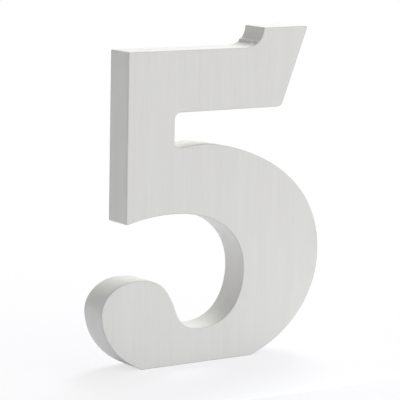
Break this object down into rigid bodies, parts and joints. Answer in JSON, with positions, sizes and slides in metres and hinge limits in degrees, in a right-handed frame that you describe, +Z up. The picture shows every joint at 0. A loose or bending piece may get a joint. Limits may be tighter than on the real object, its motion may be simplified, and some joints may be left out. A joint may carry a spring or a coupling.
{
  "type": "house number",
  "caption": "Free-standing wooden numeral sawn from board, painted white, with a flag arm, open bowl, ball hook and level foot.",
  "frame": {"origin": "on the standing surface, below the middle of the numeral's width and of the board's thickness", "axes": "+Z up the numeral, -Y out of the front face, +X to the right as the numeral is read"},
  "size_m": [0.1168, 0.015, 0.15],
  "materials": {
    "painted_wood": "white satin paint over wood, with faint grain"
  },
  "bodies": {
    "root": {"numeral_five": "painted_wood"}
  },
  "joints": []
}
